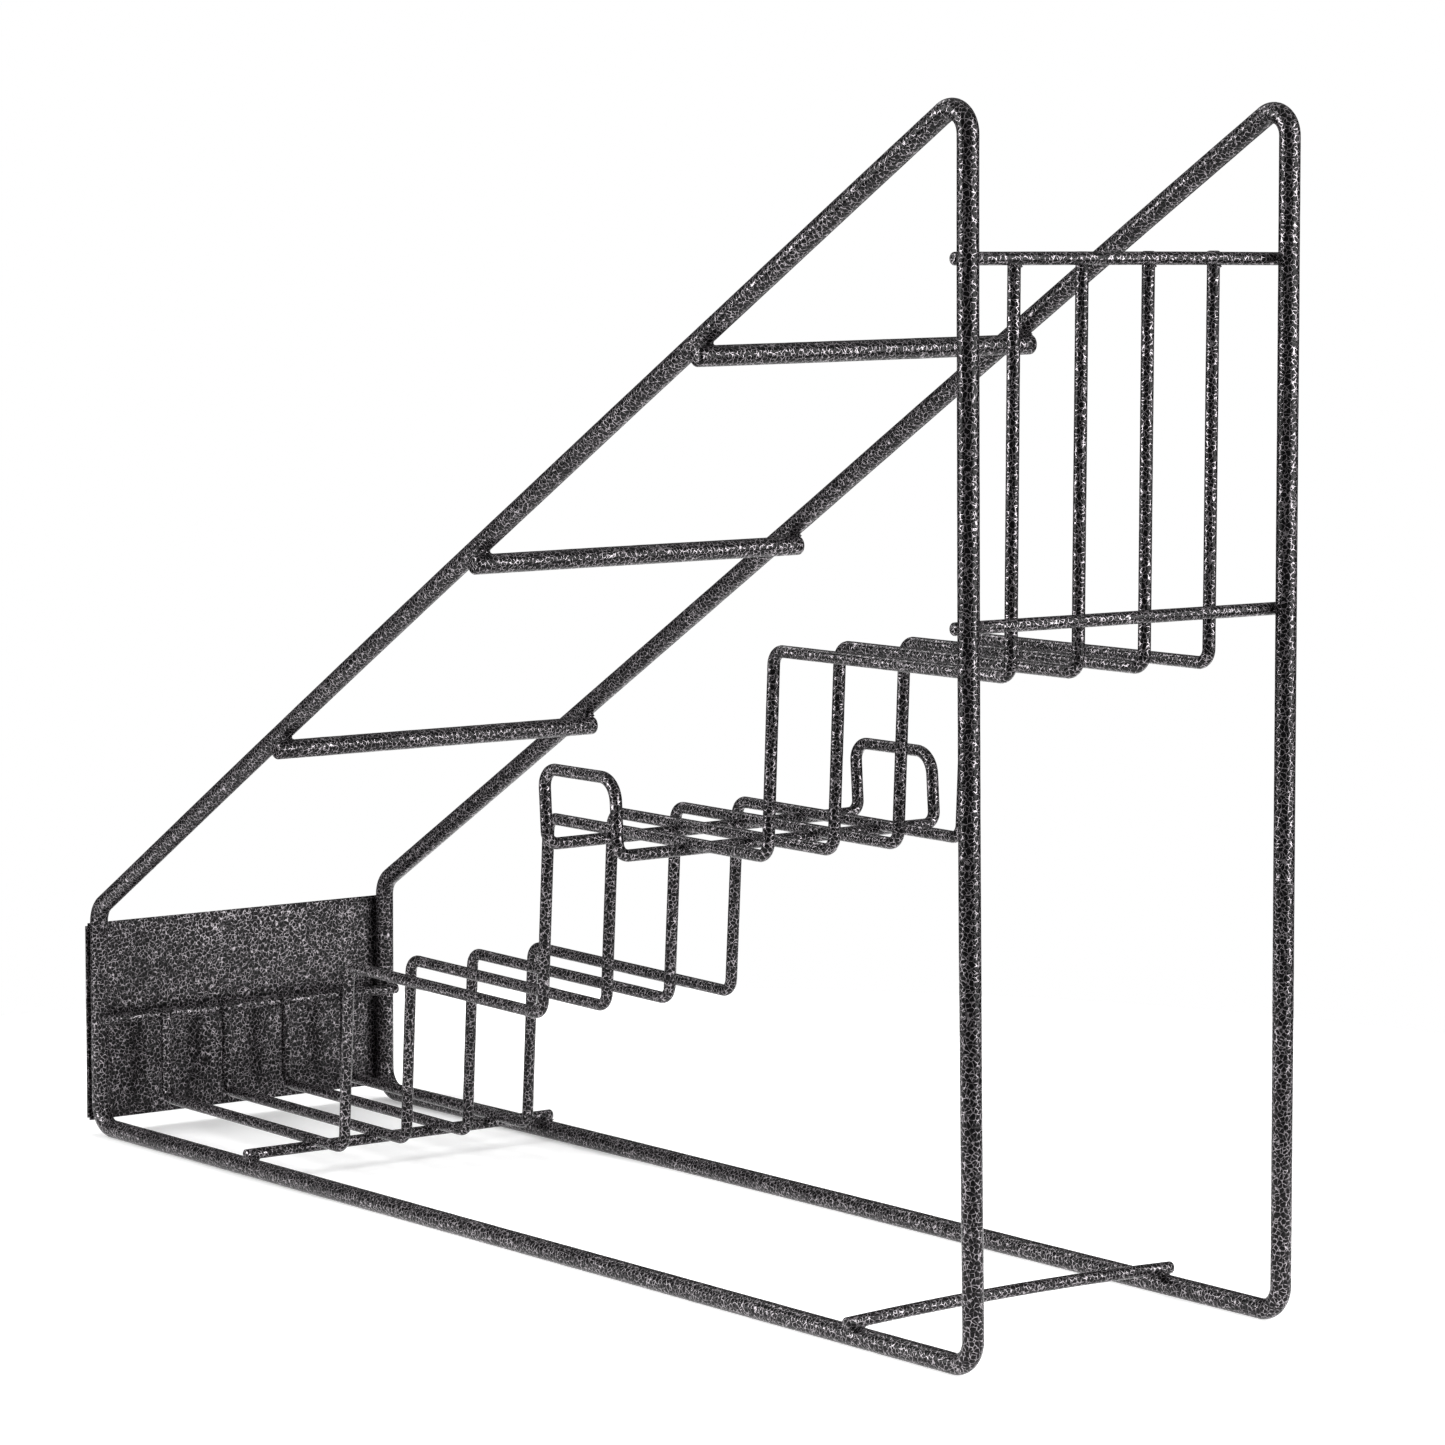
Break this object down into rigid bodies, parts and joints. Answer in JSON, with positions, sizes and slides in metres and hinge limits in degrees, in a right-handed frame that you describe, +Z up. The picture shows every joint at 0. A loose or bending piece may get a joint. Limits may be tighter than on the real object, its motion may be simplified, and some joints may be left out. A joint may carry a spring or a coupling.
{
  "type": "tiered wire rack",
  "caption": "Stepped wire rack with bent-rod side frames, sloping cross bars, stair-shaped shelf wires, side stops and a sheet front panel.",
  "frame": {"origin": "centre of the rack's footprint, on the surface that the two base rods stand on", "axes": "+Z up, -Y towards the front panel, +X towards the rack's right-hand side; the YZ plane is midway between the two side frames"},
  "size_m": [0.1667, 0.6117, 0.455],
  "materials": {
    "rod_coat": "hammered silver-vein powder coat, semi-gloss",
    "wire_coat": "hammered silver-vein powder coat, semi-gloss",
    "panel_coat": "hammered silver-vein powder coat, semi-gloss",
    "weld_coat": "hammered powder coat over small weld collars"
  },
  "bodies": {
    "root": {"right_side_frame": "rod_coat", "left_side_frame": "rod_coat", "slope_bar_lower": "rod_coat", "slope_bar_middle": "rod_coat", "slope_bar_upper": "rod_coat", "back_bar_upper": "wire_coat", "back_bar_lower": "wire_coat", "front_bar": "wire_coat", "base_wire_front": "wire_coat", "base_wire_rear": "wire_coat", "stair_wire_1": "wire_coat", "stair_wire_2": "wire_coat", "stair_wire_3": "wire_coat", "stair_wire_4": "wire_coat", "guard_ring": "wire_coat", "front_panel": "panel_coat", "weld_slope_bar_lower_right": "weld_coat", "weld_slope_bar_lower_left": "weld_coat", "weld_slope_bar_middle_right": "weld_coat", "weld_slope_bar_middle_left": "weld_coat", "weld_slope_bar_upper_right": "weld_coat", "weld_slope_bar_upper_left": "weld_coat", "weld_back_bar_upper_right": "weld_coat", "weld_back_bar_upper_left": "weld_coat", "weld_back_bar_lower_right": "weld_coat", "weld_back_bar_lower_left": "weld_coat", "weld_front_bar_right": "weld_coat", "weld_front_bar_left": "weld_coat", "weld_base_wire_front_right": "weld_coat", "weld_base_wire_front_left": "weld_coat", "weld_base_wire_rear_right": "weld_coat", "weld_base_wire_rear_left": "weld_coat"}
  },
  "joints": []
}
